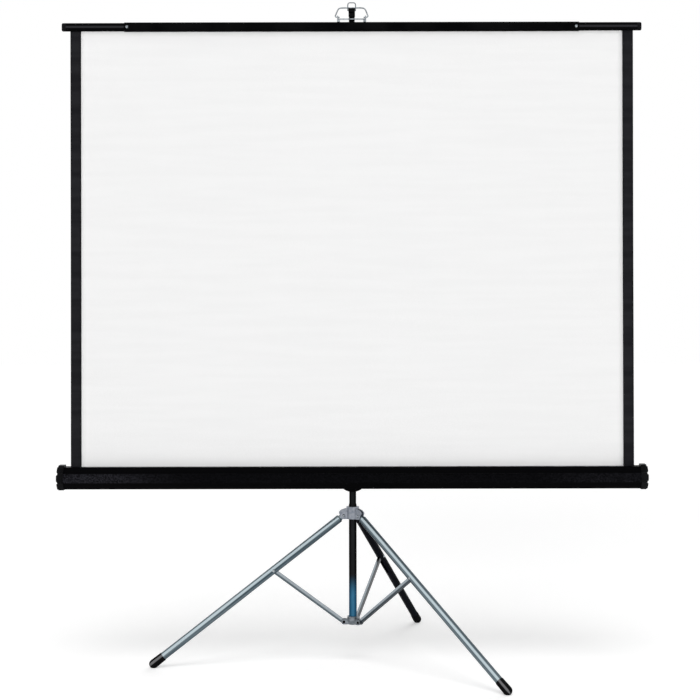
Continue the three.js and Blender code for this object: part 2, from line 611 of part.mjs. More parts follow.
function buildCase() {
  const shellOutline = polygon(caseOutline(0));
  shellOutline.holes.push(polygon(caseOutline(-CASE_WALL)));
  const shell = alongX(shellOutline, -CASE_LENGTH / 2, CASE_LENGTH / 2).translate(0, CASE_Y, CASE_Z);
  const slot = block(
    [-CASE_LENGTH, CASE_LENGTH],
    [FABRIC_Y - SLOT_WIDTH / 2, FABRIC_Y + SLOT_WIDTH / 2],
    [CASE_Z + CASE_HEIGHT / 4, CASE_Z + CASE_HEIGHT],
  );
  const boltHole = rod(BOLT_RADIUS + RUNNING_PLAY, CASE_DEPTH / 2).translate(0, CASE_BACK_Y, CASE_Z);
  place(screen, 'case_shell', BLACK_HAMMER, cut(solid(shell), slot, boltHole));

  const bracketZ = [-1, 1].map((end) => CASE_Z + CASE_BACK_RISE + (end * BRACKET_HEIGHT) / 2);
  const bracketX = [-BRACKET_LENGTH / 2, BRACKET_LENGTH / 2];
  const bracket = block(bracketX, [BRACKET_Y - BRACKET_THICKNESS, BRACKET_Y], bracketZ);
  place(screen, 'case_bracket', BLACK_ENAMEL, cut(solid(bracket), boltHole));

  const layers = [[CAP_LIP, CAP_CROWN], [0, CAP_CROWN / 3], [-CAP_CROWN, 0]].map(
    ([grow, inset]) => alongX(polygon(caseOutline(grow)), -CAP_OVERLAP, CAP_LENGTH - inset),
  );
  const crestDepth = CASE_DEPTH - CASE_TOP_RUN - CASE_BACK_RUN;
  const crest = alongX(
    roundedRectangle(crestDepth, CASE_HEIGHT, CAP_CREST_ROUND), -CAP_OVERLAP, CAP_LENGTH - CAP_CROWN,
  ).translate(0, CASE_BACK_RUN / 2, CAP_CREST_RISE);
  const recess = alongX(polygon(caseOutline(SEAT_GAP)), -2 * CAP_OVERLAP, SEAT_GAP);
  const pinHole = rod(PIN_RADIUS + RUNNING_PLAY, 2 * (PIN_REACH + SEAT_GAP)).rotateZ(Math.PI / 2);
  pinHole.translate(0, ROLLER_Y - CASE_Y, 0);
  const ridge = CASE_HEIGHT / 2 - CASE_TOP_DROP - CASE_RIDGE_FALL;
  const grooves = [ridge, ridge - CASE_FRONT_FLAT].map(
    (z) => rod(CAP_GROOVE, 2 * CASE_DEPTH).translate(CAP_LENGTH, 0, z),
  );
  const cap = geometryOf(cut(join(...layers, crest), recess, pinHole, ...grooves));
  for (const { side, sign } of SIDES) {
    const handed = cap.clone().applyMatrix4(new THREE.Matrix4().makeScale(sign, 1, 1));
    handed.translate((sign * CASE_LENGTH) / 2, CASE_Y, CASE_Z);
    place(screen, `case_end_cap_${side}`, BLACK_PLASTIC, handed);
  }
}

// Spring roller with the turns of fabric that stay on it
function buildRoller() {
  const hub = new THREE.Group();
  hub.position.set(0, ROLLER_Y, CASE_Z);
  hub.rotation.y = Math.PI / 2;
  screen.add(hub);
  const half = ROLLER_LENGTH / 2;
  const tube = turned([
    [ROLLER_RADIUS - ROLLER_WALL, -half], [ROLLER_RADIUS, -half], [ROLLER_RADIUS, half],
    [ROLLER_RADIUS - ROLLER_WALL, half], [ROLLER_RADIUS - ROLLER_WALL, -half],
  ]);
  place(hub, 'roller_tube', GREY_STEEL, tube);
  const wound = FABRIC_WIDTH / 2;
  const inner = ROLLER_RADIUS + SEAT_GAP;
  place(hub, 'fabric_roll', WHITE_FABRIC, turned([
    [inner, -wound], [ROLL_RADIUS, -wound], [ROLL_RADIUS, wound], [inner, wound], [inner, -wound],
  ]));
  const plug = ROLLER_RADIUS - ROLLER_WALL - SEAT_GAP;
  const reach = CASE_LENGTH / 2 + PIN_REACH;
  const pin = turned([
    [0, half - PLUG_DEPTH], [plug, half - PLUG_DEPTH],
    [plug, half + SEAT_GAP], [ROLLER_RADIUS, half + SEAT_GAP],
    [ROLLER_RADIUS, half + PIN_FLANGE], [PIN_RADIUS, half + PIN_FLANGE],
    [PIN_RADIUS, reach], [0, reach],
  ]);
  place(hub, 'roller_pin_right', BLACK_PLASTIC, pin);
  place(hub, 'roller_pin_left', BLACK_PLASTIC, pin.clone().rotateX(Math.PI));
}

// Screen fabric from the roll up into the slat, hemmed at the top, with its two black borders
function buildFabric() {
  const half = FABRIC_THICKNESS / 2;
  const rise = SLAT_Z - CASE_Z;
  const hemOpening = Math.asin(half / HEM_RADIUS);
  const outline = new THREE.Shape();
  outline.moveTo(-half, 0);
  outline.lineTo(half, 0);
  outline.absarc(0, rise, HEM_RADIUS, hemOpening - Math.PI / 2, 1.5 * Math.PI - hemOpening);
  outline.closePath();
  const edge = FABRIC_WIDTH / 2;
  const view = edge - BORDER_WIDTH;
  const strip = (x0, x1) => alongX(outline, x0, x1).translate(0, FABRIC_Y, CASE_Z);
  place(screen, 'screen_fabric', WHITE_FABRIC, strip(-view, view));
  place(screen, 'fabric_border_left', BLACK_FABRIC, strip(-edge, -view - SEAT_GAP));
  place(screen, 'fabric_border_right', BLACK_FABRIC, strip(view + SEAT_GAP, edge));
}

// The oval sections of the slat: solid, and as a tube
function slatOval(height, depth) {
  return roundedRectangle(depth, height, depth / 2 - SLAT_EDGE_FLAT);
}

function slatSection(height, depth, wall) {
  const outline = slatOval(height, depth);
  outline.holes.push(slatOval(height - 2 * wall, depth - 2 * wall));
  return outline;
}

// Top slat: a centre tube, two end tubes inside it, their caps and screws, all open below for the fabric
function buildSlat() {
  const endHeight = SLAT_HEIGHT - 2 * (SLAT_WALL + SEAT_GAP);
  const endDepth = SLAT_DEPTH - 2 * (SLAT_WALL + SEAT_GAP);
  const slotHalf = FABRIC_THICKNESS / 2 + SEAT_GAP;
  const slot = block([-SLAT_LENGTH, SLAT_LENGTH], [-slotHalf, slotHalf], [-SLAT_HEIGHT, 0]);
  const centreHalf = SLAT_CENTRE_LENGTH / 2;
  const endTip = SLAT_LENGTH / 2 - SLAT_CAP_LENGTH;
  const frame = new THREE.Group();
  frame.position.set(0, FABRIC_Y, SLAT_Z);
  screen.add(frame);

  const screwX = centreHalf - SLAT_SCREW_INSET;
  const screwHole = (x) => rod(SLAT_SCREW_RADIUS + SEAT_GAP, SLAT_DEPTH).translate(x, -SLAT_DEPTH / 2, 0);
  const centre = alongX(slatSection(SLAT_HEIGHT, SLAT_DEPTH, SLAT_WALL), -centreHalf, centreHalf);
  place(frame, 'top_slat', BLACK_ENAMEL, cut(solid(centre), slot, screwHole(-screwX), screwHole(screwX)));

  const endSection = slatSection(endHeight, endDepth, SLAT_END_WALL);
  const end = alongX(endSection, centreHalf - SLAT_SLEEVE_OVERLAP, endTip);
  const endBody = geometryOf(cut(solid(end), slot, screwHole(screwX)));
  const plugDepth = endDepth - 2 * (SLAT_END_WALL + SEAT_GAP);
  const plugHeight = endHeight - 2 * (SLAT_END_WALL + SEAT_GAP);
  const capTip = endTip + SLAT_CAP_LENGTH;
  const capHead = alongX(slatOval(endHeight, endDepth), endTip + SEAT_GAP, capTip - SLAT_CAP_CROWN);
  const capPlug = alongX(slatOval(plugHeight, plugDepth), endTip - SLAT_CAP_PLUG, capTip);
  const capBody = geometryOf(join(capHead, capPlug));
  const crown = SLAT_SCREW_HEAD_HEIGHT;
  const head = SLAT_SCREW_HEAD_RADIUS;
  const grip = SLAT_WALL + SLAT_END_WALL + 2 * SEAT_GAP;
  const screw = turned([
    [0, -grip], [SLAT_SCREW_RADIUS, -grip], [SLAT_SCREW_RADIUS, 0], [head, 0],
    [head * 0.8, crown * 0.6], [head * 0.4, crown * 0.95], [0, crown],
  ], 14).rotateX(Math.PI / 2);
  for (const { side, sign } of SIDES) {
    const mirror = new THREE.Matrix4().makeScale(sign, 1, 1);
    place(frame, `slat_end_${side}`, BLACK_ENAMEL, endBody.clone().applyMatrix4(mirror));
    place(frame, `slat_cap_${side}`, BLACK_PLASTIC, capBody.clone().applyMatrix4(mirror));
    const screwMesh = place(frame, `slat_screw_${side}`, CHROME, screw);
    screwMesh.position.set(sign * screwX, -SLAT_DEPTH / 2 - SEAT_GAP, 0);
  }
}

// Wire bail that hangs the slat on the mast head, in its bridge bracket
function buildBail() {
  const half = BAIL_BASE_LENGTH / 2;
  const ear = BAIL_EAR_THICKNESS;
  const [barTop, barLow] = [BAIL_BASE_HEIGHT, BAIL_BASE_HEIGHT - BAIL_BASE_BAR];
  const earTop = barTop + BAIL_EAR_HEIGHT;
  const bridge = polygon([
    [-half, 0], [-half + BAIL_BASE_FOOT, 0], [-half + BAIL_BASE_FOOT, barLow],
    [half - BAIL_BASE_FOOT, barLow], [half - BAIL_BASE_FOOT, 0], [half, 0],
    [half, earTop], [half - ear, earTop], [half - ear, barTop],
    [-half + ear, barTop], [-half + ear, earTop], [-half, earTop],
  ]);
  const hingeRise = barTop + BAIL_EAR_HEIGHT / 2;
  const wireHole = rod(BAIL_WIRE / 2 + RUNNING_PLAY, 4 * half).rotateZ(Math.PI / 2);
  wireHole.translate(0, 0, hingeRise);
  const bracket = cut(solid(uprightPlate(bridge, BAIL_BASE_DEPTH)), wireHole);
  const bracketMesh = place(screen, 'bail_bracket', CHROME, bracket);
  bracketMesh.position.set(0, FABRIC_Y, SLAT_TOP_Z + SEAT_GAP);

  const lean = Math.atan2(BAIL_TOP_Y - FABRIC_Y, BAIL_TOP_Z - BAIL_HINGE_Z);
  const rise = Math.hypot(BAIL_TOP_Y - FABRIC_Y, BAIL_TOP_Z - BAIL_HINGE_Z);
  const [foot, shoulder] = [BAIL_WIDTH / 2 - BAIL_WIRE / 2, BAIL_TOP_WIDTH / 2];
  const bend = 1.5 * BAIL_WIRE;
  const inner = half - 2 * ear;
  const rightSide = [
    [shoulder - bend, rise], [shoulder, rise - 0.3 * bend], [shoulder + 0.6 * bend, rise - bend],
    [foot - 0.2 * bend, 1.6 * bend], [foot, 0.9 * bend], [foot - 0.35 * bend, 0.2 * bend],
    [foot - bend, 0], [inner, 0],
  ];
  const leftSide = rightSide.map(([x, z]) => [-x, z]).reverse();
  const path = [...leftSide, [0, rise], ...rightSide].map(([x, z]) => new THREE.Vector3(x, 0, z));
  const bail = place(screen, 'bail', CHROME, wire(path, BAIL_WIRE, 48));
  bail.position.set(0, FABRIC_Y, BAIL_HINGE_Z);
  bail.rotation.x = -lean;
}

// Telescopic mast with the head and hook that take the bail
function buildMast() {
  const bottom = UPPER_POST_TOP_Z - MAST_INSERTION;
  place(screen, 'mast_tube', BLACK_ENAMEL, squareTube(MAST_WIDTH, MAST_WALL, bottom, MAST_TOP_Z));
  const plugWidth = MAST_WIDTH - 2 * (MAST_WALL + SEAT_GAP);
  const plugCorner = TUBE_CORNER - MAST_WALL;
  const glideWidth = UPPER_POST_BORE - 2 * RUNNING_PLAY;
  const glideFoot = squareBar(glideWidth, plugCorner, bottom - SEAT_GAP - GLIDE_FLANGE, bottom - SEAT_GAP);
  const glidePlug = squareBar(plugWidth, plugCorner, bottom - 2 * SEAT_GAP, bottom + GLIDE_LENGTH);
  place(screen, 'mast_glide', NYLON, join(glideFoot, glidePlug));

  const half = HEAD_WIDTH / 2;
  const noseTip = -half - NOSE_REACH;
  const cap = squareBar(HEAD_WIDTH, TUBE_CORNER, MAST_TOP_Z + SEAT_GAP, HEAD_TOP_Z);
  const plug = squareBar(plugWidth, plugCorner, MAST_TOP_Z - HEAD_PLUG, MAST_TOP_Z + 2 * SEAT_GAP);
  const nose = block([-half, half], [noseTip, 0], [HEAD_TOP_Z - NOSE_HEIGHT, HEAD_TOP_Z]);
  place(screen, 'mast_head', BLACK_PLASTIC, join(cap, plug, nose));

  const hookX = half + SEAT_GAP + HOOK_WIRE / 2;
  const hookY = BAIL_TOP_Y - BAIL_WIRE / 2 - SEAT_GAP - HOOK_WIRE / 2;
  const [tail, peak] = [HEAD_TOP_Z - HOOK_TAIL, HEAD_TOP_Z + HOOK_RISE - HOOK_WIRE / 2];
  const [haunchX, haunchZ, springZ] = [0.8 * hookX, peak - 0.08 * hookX, peak - 0.5 * hookX];
  const path = [
    [-hookX, tail], [-hookX, HEAD_TOP_Z], [-hookX, springZ], [-haunchX, haunchZ], [0, peak],
    [haunchX, haunchZ], [hookX, springZ], [hookX, HEAD_TOP_Z], [hookX, tail],
  ].map(([x, z]) => new THREE.Vector3(x, hookY, z));
  place(screen, 'mast_hook', GREY_STEEL, wire(path, HOOK_WIRE, 24));
}

buildPosts();
const collarFork = buildCollar();
const hubFork = buildSpreader();
LEGS.forEach((leg) => buildLeg(leg, collarFork, hubFork));
buildMastGuide();
buildCarriage();
buildCase();
buildRoller();
buildFabric();
buildSlat();
buildBail();
buildMast();

// The origin lies on the floor, in the middle of the space that the object takes up
screen.updateMatrixWorld(true);
const middle = new THREE.Box3().setFromObject(screen, true).getCenter(new THREE.Vector3());
screen.position.y = -middle.y;

export default screen;
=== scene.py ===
import json
import math

import bmesh
import bpy
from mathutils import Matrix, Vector


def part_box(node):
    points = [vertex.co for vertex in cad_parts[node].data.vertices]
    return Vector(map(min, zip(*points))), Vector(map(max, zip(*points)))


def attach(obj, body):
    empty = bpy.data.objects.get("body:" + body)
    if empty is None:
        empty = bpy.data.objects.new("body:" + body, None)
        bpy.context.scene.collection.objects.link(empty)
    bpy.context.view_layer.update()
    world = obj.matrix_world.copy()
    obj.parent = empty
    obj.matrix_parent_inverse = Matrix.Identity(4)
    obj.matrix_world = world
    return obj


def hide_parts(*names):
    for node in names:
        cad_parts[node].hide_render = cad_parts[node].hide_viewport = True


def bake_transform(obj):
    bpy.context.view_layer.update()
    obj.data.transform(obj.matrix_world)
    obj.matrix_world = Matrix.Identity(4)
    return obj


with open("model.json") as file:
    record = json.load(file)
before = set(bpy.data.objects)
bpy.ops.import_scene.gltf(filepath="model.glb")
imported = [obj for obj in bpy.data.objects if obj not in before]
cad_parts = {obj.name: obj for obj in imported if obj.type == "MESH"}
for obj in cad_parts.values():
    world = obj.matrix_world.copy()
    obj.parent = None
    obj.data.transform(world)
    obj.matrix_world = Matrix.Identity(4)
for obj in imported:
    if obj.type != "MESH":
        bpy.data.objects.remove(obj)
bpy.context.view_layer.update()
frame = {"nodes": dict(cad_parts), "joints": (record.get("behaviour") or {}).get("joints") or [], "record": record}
nodes = frame["nodes"]
joints = {joint["name"]: joint for joint in frame["joints"]}
feet = {mount["name"]: Vector(mount["pos_m"]) for mount in frame["record"]["mounts"]}
scene = bpy.context.scene
scene.view_settings.view_transform = "Standard"

LEG_SIDES = ("front_right", "front_left", "rear")
POST_Y = sum(corner.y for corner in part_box("lower_post")) / 2

# Camera, at the photograph's distance and height
CAMERA_RIGHT, CAMERA_DISTANCE, CAMERA_HEIGHT = 0.0681, 5.1334, 1.1821
CAMERA_PITCH = math.radians(90.2465)
CAMERA_ROLL = math.radians(0.1147)
CAMERA_LENS = 82.928
CAMERA_SHIFT = (-0.03385, -0.097)

camera_data = bpy.data.cameras.new("camera")
camera_data.lens = CAMERA_LENS
camera_data.shift_x, camera_data.shift_y = CAMERA_SHIFT
camera = bpy.data.objects.new("camera", camera_data)
camera.location = (CAMERA_RIGHT, POST_Y - CAMERA_DISTANCE, CAMERA_HEIGHT)
camera.rotation_euler = (CAMERA_PITCH, CAMERA_ROLL, 0)
scene.collection.objects.link(camera)
scene.camera = camera

# Node trees
FLOAT, VECTOR = "NodeSocketFloat", "NodeSocketVector"
MIX_FACTOR, MIX_FIRST, MIX_SECOND, MIX_COLOUR = 0, 6, 7, 2


def place_node(tree, kind, inputs=None, **fields):
    """A node with its fields set and its inputs linked or given a value."""
    made = tree.nodes.new(kind)
    for field, value in fields.items():
        setattr(made, field, value)
    for socket, value in (inputs or {}).items():
        if isinstance(value, bpy.types.NodeSocket):
            tree.links.new(value, made.inputs[socket])
        else:
            made.inputs[socket].default_value = value
    return made


def calculate(tree, operation, *values, clamp=False):
    """The result of a Math node."""
    numbered = dict(enumerate(values))
    made = place_node(tree, "ShaderNodeMath", numbered, operation=operation, use_clamp=clamp)
    return made.outputs[0]


def calculate_vector(tree, operation, inputs):
    """The result of a Vector Math node: a number from a dot product, otherwise a vector."""
    made = place_node(tree, "ShaderNodeVectorMath", inputs, operation=operation)
    return made.outputs["Value" if operation == "DOT_PRODUCT" else "Vector"]


def between(tree, value, low, high, to_low=0.0, to_high=1.0):
    """A value moved smoothly from one range to another."""
    ends = {"Value": value, "From Min": low, "From Max": high, "To Min": to_low, "To Max": to_high}
    return place_node(tree, "ShaderNodeMapRange", ends, interpolation_type="SMOOTHSTEP").outputs[0]


def mix_colours(tree, factor, first, second):
    """Two colours mixed by a factor."""
    inputs = {MIX_FACTOR: factor, MIX_FIRST: first, MIX_SECOND: second}
    return place_node(tree, "ShaderNodeMix", inputs, data_type="RGBA").outputs[MIX_COLOUR]


def noise_at(tree, point, scale, detail):
    """Noise at a point, from zero to one."""
    inputs = {"Vector": point, "Scale": scale, "Detail": detail}
    return place_node(tree, "ShaderNodeTexNoise", inputs).outputs[0]


def cad_point(tree):
    """The place of a surface point in the CAD frame, at rest."""
    return tree.nodes.new("ShaderNodeTexCoord").outputs["Object"]


def shared_group(name, inputs, outputs):
    """An empty shader node group with named sockets."""
    tree = bpy.data.node_groups.new(name, "ShaderNodeTree")
    for socket, kind, value in inputs:
        made = tree.interface.new_socket(socket, in_out="INPUT", socket_type=kind)
        made.default_value = value
    for socket, kind in outputs:
        tree.interface.new_socket(socket, in_out="OUTPUT", socket_type=kind)
    return tree, tree.nodes.new("NodeGroupInput").outputs, tree.nodes.new("NodeGroupOutput").inputs


# Screen colours, by the sRGB curve
SRGB_TOP, SRGB_TOE = 255, 10
SRGB_TOE_SLOPE = 12.92
SRGB_OFFSET, SRGB_POWER = 0.055, 2.4


def linear(*levels):
    """An 8-bit screen colour as a linear RGBA value."""
    colour = []
    for level in levels:
        share = level / SRGB_TOP
        if level > SRGB_TOE:
            colour.append(((share + SRGB_OFFSET) / (1 + SRGB_OFFSET)) ** SRGB_POWER)
        else:
            colour.append(share / SRGB_TOE_SLOPE)
    return (*colour, 1)


# Fine grain with slow patches, for paint, plastic and plated metal
NOISE_SPAN = (0.3, 0.7)
GRAIN_DETAIL, PATCH_DETAIL = 2.0, 3.0


def make_surface_grain():
    tree, given, result = shared_group(
        "surface_grain",
        [("Grain Size", FLOAT, 0.001), ("Patch Size", FLOAT, 0.1)],
        [("Grain", FLOAT), ("Patches", FLOAT)],
    )
    point = cad_point(tree)
    for size, detail, output in (
        ("Grain Size", GRAIN_DETAIL, "Grain"),
        ("Patch Size", PATCH_DETAIL, "Patches"),
    ):
        scale = calculate(tree, "DIVIDE", 1.0, given[size])
        noise = noise_at(tree, point, scale, detail)
        tree.links.new(between(tree, noise, *NOISE_SPAN), result[output])
    return tree


# Painted highlight along a tube or strip: a bright band on its lit side, a painted pale rim on its far side, and
# streaks that are partly drawn marks and partly painted reflection, from its start and its axis
BAND_FULL, BAND_SHARE = 0.985, 0.9
FAR_SIDE_SPAN = (0.15, -0.6)
STREAK_SCALE, STREAK_DETAIL = 2.2, 2.0
STREAK_SPAN = (0.35, 0.65)


def make_painted_highlight_lines():
    tree, given, result = shared_group(
        "painted_highlight_lines",
        [
            ("Start", VECTOR, (0, 0, 0)),
            ("Axis", VECTOR, (0, 0, 1)),
            ("Bright Side", VECTOR, (0, 0, 1)),
            ("Band Edge", FLOAT, 0.9),
            ("Far Edge", FLOAT, 0.25),
            ("Streak", FLOAT, 0.2),
        ],
        [("Tone", FLOAT)],
    )
    reach = calculate_vector(tree, "SUBTRACT", {0: cad_point(tree), 1: given["Start"]})
    along = calculate_vector(tree, "DOT_PRODUCT", {0: reach, 1: given["Axis"]})
    on_axis = calculate_vector(tree, "SCALE", {0: given["Axis"], "Scale": along})
    outward = calculate_vector(tree, "SUBTRACT", {0: reach, 1: on_axis})
    around = calculate_vector(tree, "NORMALIZE", {0: outward})
    sweep = calculate_vector(tree, "ADD", {0: around, 1: on_axis})
    noise = noise_at(tree, sweep, STREAK_SCALE, STREAK_DETAIL)
    facing = calculate_vector(tree, "DOT_PRODUCT", {0: around, 1: given["Bright Side"]})
    # Painted highlight band on the side facing Bright Side, and a painted pale rim on the far side
    band = between(tree, facing, given["Band Edge"], BAND_FULL, 0.0, BAND_SHARE)
    far_edge = between(tree, facing, *FAR_SIDE_SPAN, 0.0, given["Far Edge"])
    streak = between(tree, noise, *STREAK_SPAN, 0.0, given["Streak"])
    lit = calculate(tree, "ADD", band, far_edge)
    tree.links.new(calculate(tree, "ADD", lit, streak, clamp=True), result["Tone"])
    return tree


# Woven threads across a flat cloth, from its own map in metres
CLOTH_MAP = "cloth"
SLUB_STRETCH = (3.0, 40.0, 1.0)
SLUB_DETAIL = 3.0


def make_woven_threads():
    tree, given, result = shared_group(
        "woven_threads", [("Thread", FLOAT, 0.0008)], [("Height", FLOAT), ("Slub", FLOAT)]
    )
    flat = place_node(tree, "ShaderNodeUVMap", uv_map=CLOTH_MAP).outputs[0]
    across = place_node(tree, "ShaderNodeSeparateXYZ", {0: flat}).outputs
    turns = calculate(tree, "DIVIDE", 2 * math.pi, given["Thread"])
    waves = [calculate(tree, "SINE", calculate(tree, "MULTIPLY", across[i], turns)) for i in (0, 1)]
    tree.links.new(calculate(tree, "MULTIPLY", *waves), result["Height"])
    stretched = calculate_vector(tree, "MULTIPLY", {0: flat, 1: SLUB_STRETCH})
    noise = noise_at(tree, stretched, 1.0, SLUB_DETAIL)
    tree.links.new(between(tree, noise, *NOISE_SPAN), result["Slub"])
    return tree


SURFACE_GRAIN = make_surface_grain()
PAINTED_HIGHLIGHT_LINES = make_painted_highlight_lines()
WOVEN_THREADS = make_woven_threads()


def use_group(tree, group, **inputs):
    """A shared group placed in a material, with its own values."""
    made = place_node(tree, "ShaderNodeGroup", node_tree=group)
    for name, value in inputs.items():
        made.inputs[name.replace("_", " ")].default_value = value
    return made.outputs


# Finishes
TUBE_GRAIN, TUBE_PATCH, TUBE_DEPTH = 0.004, 0.09, 0.00002
CLOTH_ROUGH = (0.84, 0.9)


def new_finish(name, **shader_values):
    """A material with a Principled shader, and its tree."""
    material = bpy.data.materials.new(name)
    material.use_nodes = True
    tree = material.node_tree
    shader = next(n for n in tree.nodes if n.type == "BSDF_PRINCIPLED")
    for socket, value in shader_values.items():
        shader.inputs[socket.replace("_", " ")].default_value = value
    return material, tree, shader


def raise_surface(tree, shader, height, distance):
    """A bump of a real depth, in metres."""
    inputs = {"Height": height, "Distance": distance, "Strength": 1.0}
    bump = place_node(tree, "ShaderNodeBump", inputs)
    tree.links.new(bump.outputs[0], shader.inputs["Normal"])


def coated(name, dark, light, rough, grain, patch, depth, **shader_values):
    """Paint, plastic or plating: patches in its colour and grain in its gloss."""
    material, tree, shader = new_finish(name, **shader_values)
    marks = use_group(tree, SURFACE_GRAIN, Grain_Size=grain, Patch_Size=patch)
    tree.links.new(mix_colours(tree, marks["Patches"], dark, light), shader.inputs["Base Color"])
    gloss = calculate(tree, "ADD", marks["Grain"], marks["Patches"])
    tree.links.new(between(tree, gloss, 0.0, 2.0, *rough), shader.inputs["Roughness"])
    raise_surface(tree, shader, marks["Grain"], depth)
    return material


def painted_highlight_tube(name, run, shares, tones, rough, **shader_values):
    """Plated, painted or moulded tube or strip with a painted highlight band, painted shade and streaks along it.
    """
    start, axis, bright_side = run
    material, tree, shader = new_finish(name, **shader_values)
    lines = use_group(tree, PAINTED_HIGHLIGHT_LINES, Start=start, Axis=axis, Bright_Side=bright_side, **shares)
    marks = use_group(tree, SURFACE_GRAIN, Grain_Size=TUBE_GRAIN, Patch_Size=TUBE_PATCH)
    tree.links.new(mix_colours(tree, lines["Tone"], *tones), shader.inputs["Base Color"])
    tree.links.new(between(tree, marks["Patches"], 0.0, 1.0, *rough), shader.inputs["Roughness"])
    raise_surface(tree, shader, marks["Grain"], TUBE_DEPTH)
    return material


def cloth(name, dark, light, thread, depth, **shader_values):
    """Woven cloth with a matte coating."""
    material, tree, shader = new_finish(name, **shader_values)
    weave = use_group(tree, WOVEN_THREADS, Thread=thread)
    tree.links.new(mix_colours(tree, weave["Slub"], dark, light), shader.inputs["Base Color"])
    tree.links.new(between(tree, weave["Slub"], 0.0, 1.0, *CLOTH_ROUGH), shader.inputs["Roughness"])
    raise_surface(tree, shader, weave["Height"], depth)
    return material


BLACK = linear(3, 3, 4)
ENAMEL_SPECULAR = 0.015
ENAMEL_ROUGH = (0.28, 0.42)

BLACK_ENAMEL = coated(
    "black_enamel",
    dark=BLACK,
    light=linear(12, 12, 13),
    rough=ENAMEL_ROUGH,
    grain=0.0012,
    patch=0.12,
    depth=0.00003,
    Specular_IOR_Level=ENAMEL_SPECULAR,
)
BLACK_PLASTIC = coated(
    "black_plastic",
    dark=BLACK,
    light=linear(18, 18, 20),
    rough=(0.35, 0.5),
    grain=0.0008,
    patch=0.03,
    depth=0.00004,
    Specular_IOR_Level=0.05,
)
NYLON = coated(
    "nylon",
    dark=linear(18, 18, 20),
    light=linear(30, 30, 32),
    rough=(0.5, 0.65),
    grain=0.0007,
    patch=0.02,
    depth=0.00003,
    Specular_IOR_Level=0.1,
)
BRIGHT_PLATE = coated(
    "bright_plate",
    dark=linear(122, 128, 134),
    light=linear(178, 184, 188),
    rough=(0.12, 0.25),
    grain=0.0012,
    patch=0.008,
    depth=0.00002,
    Metallic=1.0,
)
SILVER_CASTING = coated(
    "silver_casting",
    dark=linear(124, 130, 140),
    light=linear(160, 165, 174),
    rough=(0.3, 0.5),
    grain=0.0014,
    patch=0.012,
    depth=0.00015,
    Metallic=0.8,
)
GREY_STEEL = coated(
    "grey_steel",
    dark=linear(98, 105, 111),
    light=linear(138, 144, 150),
    rough=(0.3, 0.46),
    grain=0.0016,
    patch=0.01,
    depth=0.00006,
    Metallic=0.9,
)
WHITE_CLOTH = cloth(
    "white_cloth",
    dark=linear(243, 243, 243),
    light=linear(245, 245, 245),
    thread=0.0009,
    depth=0.00006,
    Specular_IOR_Level=0.1,
)
BLACK_CLOTH = cloth(
    "black_cloth",
    dark=linear(25, 25, 28),
    light=linear(36, 36, 39),
    thread=0.0009,
    depth=0.00008,
    Specular_IOR_Level=0.1,
)

# Case enamel: smooth above and below, grained on the front face, with painted sheen on the grain that is faint
# across the middle, strong at the left end and weaker at the right end
CASE_FRONT_TOP, CASE_FRONT_BASE = 0.0195, 0.0475
CASE_FRONT_EDGE = 0.0004
CASE_FRONT_SPAN = (0.002, 0.001)
CASE_LEFT_SPAN, CASE_LEFT_SHARES = (-0.5, -0.82), (0.12, 1.0)
CASE_RIGHT_SPAN, CASE_RIGHT_SHARES = (0.45, 0.82), (0.0, 0.4)
CASE_SHEEN = linear(42, 42, 47)
CASE_ROUGH = (0.3, 0.46)
CASE_GRAIN_DEPTH = 0.0005


def make_case_enamel():
    low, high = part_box("case_shell")
    front_top, front_base = high.z - CASE_FRONT_TOP, high.z - CASE_FRONT_BASE
    front_depths = [low.y + depth for depth in CASE_FRONT_SPAN]
    material, tree, shader = new_finish("case_enamel", Specular_IOR_Level=ENAMEL_SPECULAR)
    marks = use_group(tree, SURFACE_GRAIN, Grain_Size=0.0035, Patch_Size=0.06)
    places = place_node(tree, "ShaderNodeSeparateXYZ", {0: cad_point(tree)}).outputs
    below_ridge = between(tree, places["Z"], front_top + CASE_FRONT_EDGE, front_top - CASE_FRONT_EDGE)
    above_foot = between(tree, places["Z"], front_base - CASE_FRONT_EDGE, front_base + CASE_FRONT_EDGE)
    at_front = between(tree, places["Y"], *front_depths)
    panel = calculate(tree, "MULTIPLY", calculate(tree, "MULTIPLY", below_ridge, above_foot), at_front)
    grained = calculate(tree, "MULTIPLY", marks["Grain"], panel)
    # Painted sheen on the grain, stronger towards the left end than the right
    painted_sheen_left = between(tree, places["X"], *CASE_LEFT_SPAN, *CASE_LEFT_SHARES)
    painted_sheen_right = between(tree, places["X"], *CASE_RIGHT_SPAN, *CASE_RIGHT_SHARES)
    painted_sheen = calculate(tree, "MAXIMUM", painted_sheen_left, painted_sheen_right)
    paler = calculate(tree, "MULTIPLY", grained, painted_sheen)
    tree.links.new(mix_colours(tree, paler, BLACK, CASE_SHEEN), shader.inputs["Base Color"])
    tree.links.new(between(tree, marks["Patches"], 0.0, 1.0, *CASE_ROUGH), shader.inputs["Roughness"])
    raise_surface(tree, shader, grained, CASE_GRAIN_DEPTH)
    return material


# Post enamel, with painted sheen along the middle of each face, varied in patches, and blue towards the foot
POST_SHEEN_SPAN = (0.0085, 0.002)
POST_SHEEN_PATCHES = (0.7, 1.0)
POST_BLUE_SPAN = (0.279, 0.207)
POST_SHEEN = linear(34, 35, 37)
POST_BLUE, POST_BLUE_SHEEN = linear(28, 72, 100), linear(60, 116, 149)
POST_ROUGH = (0.28, 0.4)
POST_GRAIN_DEPTH = 0.00003


